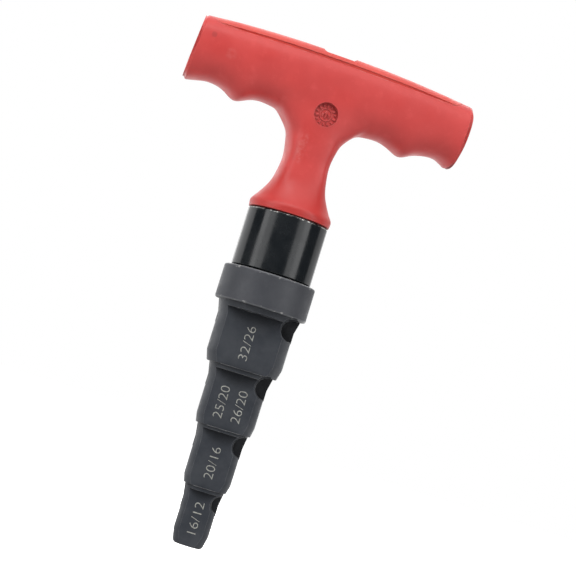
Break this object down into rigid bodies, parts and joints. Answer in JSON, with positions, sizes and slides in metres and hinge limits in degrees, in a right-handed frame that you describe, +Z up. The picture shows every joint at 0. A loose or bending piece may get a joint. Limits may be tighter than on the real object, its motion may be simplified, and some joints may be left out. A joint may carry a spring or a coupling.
{
  "type": "deburring tool",
  "caption": "T-handled hand tool with a stepped mandrel that rounds and deburrs the ends of multilayer pipes; the mandrel plugs out of its hexagon socket.",
  "frame": {"origin": "centre of the flat end of the mandrel's nose", "axes": "+Z up the tool's axis from the nose to the handle, X along the handle's bar, -Y out of the handle's front"},
  "size_m": [0.0968, 0.0312, 0.1699],
  "materials": {
    "body_steel": "dark grey phosphated steel, satin",
    "blade_steel": "ground and blackened, semi-gloss",
    "fastener_steel": "black oxide, satin",
    "drive_steel": "bright drawn steel",
    "ball_steel": "polished",
    "sleeve_black": "turned and blackened, glossy",
    "red_plastic": "satin moulded plastic"
  },
  "bodies": {
    "handle": {"handle_grip": "red_plastic", "handle_top_strip": "red_plastic", "ferrule_sleeve": "sleeve_black", "socket_insert": "drive_steel", "tie_bolt": "fastener_steel", "bolt_washer": "fastener_steel", "lock_washer": "fastener_steel"},
    "mandrel": {"mandrel_body": "body_steel", "cutter_blade_16": "blade_steel", "cutter_blade_20": "blade_steel", "cutter_blade_26": "blade_steel", "cutter_blade_32": "blade_steel", "blade_screw_16": "fastener_steel", "blade_screw_20": "fastener_steel", "blade_screw_26": "fastener_steel", "blade_screw_32": "fastener_steel", "drive_shank": "drive_steel", "shank_pin": "fastener_steel", "detent_spring": "ball_steel"},
    "detent_ball": {"detent_ball": "ball_steel"}
  },
  "joints": [
    {"name": "mandrel_pull_off", "type": "slide", "parent": "handle", "child": "mandrel", "axis": [0, 0, -1], "range_m": [0, 0.024]},
    {"name": "detent_ball_press", "type": "slide", "parent": "mandrel", "child": "detent_ball", "axis": [-0.1908, -0.9816, 0], "range_m": [0, 0.0005], "stiffness_N_per_m": 1500, "springref_m": -0.0005, "deforming": ["detent_spring"]}
  ]
}
